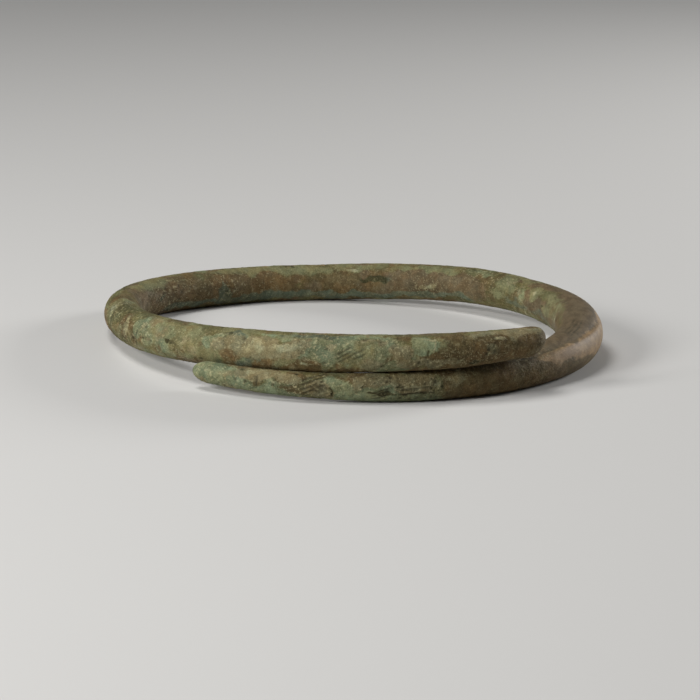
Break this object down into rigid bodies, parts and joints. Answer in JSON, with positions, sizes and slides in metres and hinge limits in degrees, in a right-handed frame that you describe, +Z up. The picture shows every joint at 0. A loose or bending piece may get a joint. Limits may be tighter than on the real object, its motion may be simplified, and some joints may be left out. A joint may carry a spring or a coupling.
{
  "type": "snake bracelet",
  "caption": "Ancient bronze bracelet: one round tapering bar coiled a little over one turn, its worn ends lying one above the other at the front.",
  "frame": {"origin": "on the surface the bracelet lies on, under the middle of its outer box", "axes": "+Z up as it lies, +Y from the front, where the ends overlap, to the back; +X to the right, where the lower pass leaves the overlap"},
  "size_m": [0.0772, 0.0782, 0.0099],
  "materials": {
    "patinated_bronze": "matt, crusted green, olive and brown patina over bronze, with fine pits"
  },
  "bodies": {
    "root": {"bracelet": "patinated_bronze"}
  },
  "joints": []
}
